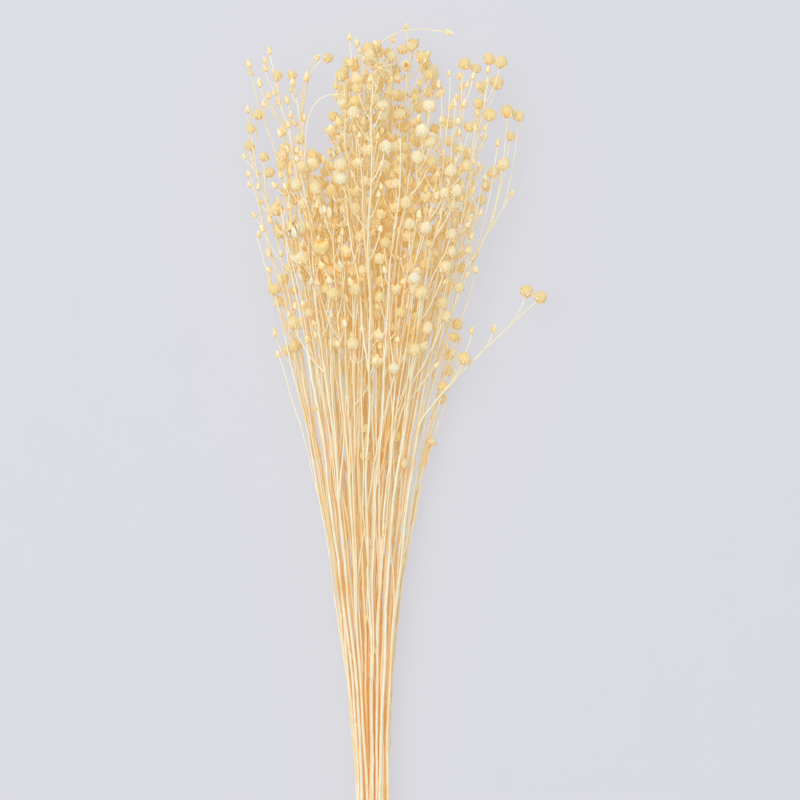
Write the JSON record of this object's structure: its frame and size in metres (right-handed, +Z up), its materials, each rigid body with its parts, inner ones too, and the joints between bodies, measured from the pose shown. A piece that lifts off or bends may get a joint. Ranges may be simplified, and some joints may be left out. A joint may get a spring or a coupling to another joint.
{
  "type": "bunch of dried flax stems",
  "caption": "Bunch of dried flax stems with round seed bolls, gathered by an elastic band and lying on its side.",
  "frame": {"origin": "middle of the footprint, on the surface that the bunch lies on", "axes": "+Y from the cut ends towards the seed heads, +Z up, +X to the right seen from above with the heads away"},
  "size_m": [0.1832, 0.5962, 0.1001],
  "materials": {
    "flax_straw": "dry bleached straw, matt, faintly streaked along the stem, with papery bolls",
    "band_rubber": "dull tan latex"
  },
  "bodies": {
    "root": {"flax_stem_01": "flax_straw", "flax_stem_02": "flax_straw", "flax_stem_03": "flax_straw", "flax_stem_04": "flax_straw", "flax_stem_05": "flax_straw", "flax_stem_06": "flax_straw", "flax_stem_07": "flax_straw", "flax_stem_08": "flax_straw", "flax_stem_09": "flax_straw", "flax_stem_10": "flax_straw", "flax_stem_11": "flax_straw", "flax_stem_12": "flax_straw", "flax_stem_13": "flax_straw", "flax_stem_14": "flax_straw", "flax_stem_15": "flax_straw", "flax_stem_16": "flax_straw", "flax_stem_17": "flax_straw", "flax_stem_18": "flax_straw", "flax_stem_19": "flax_straw", "flax_stem_20": "flax_straw", "flax_stem_21": "flax_straw", "flax_stem_22": "flax_straw", "flax_stem_23": "flax_straw", "flax_stem_24": "flax_straw", "flax_stem_25": "flax_straw", "flax_stem_26": "flax_straw", "flax_stem_27": "flax_straw", "flax_stem_28": "flax_straw", "flax_stem_29": "flax_straw", "flax_stem_30": "flax_straw", "flax_stem_31": "flax_straw", "flax_stem_32": "flax_straw", "flax_stem_33": "flax_straw", "flax_stem_34": "flax_straw", "flax_stem_35": "flax_straw", "flax_stem_36": "flax_straw", "flax_stem_37": "flax_straw", "flax_stem_38": "flax_straw", "flax_stem_39": "flax_straw", "flax_stem_40": "flax_straw", "flax_stem_41": "flax_straw", "flax_stem_42": "flax_straw", "flax_stem_43": "flax_straw", "flax_stem_44": "flax_straw", "flax_stem_45": "flax_straw", "flax_stem_46": "flax_straw", "flax_stem_47": "flax_straw", "flax_stem_48": "flax_straw", "flax_stem_49": "flax_straw", "flax_stem_50": "flax_straw", "elastic_band": "band_rubber"}
  },
  "joints": []
}
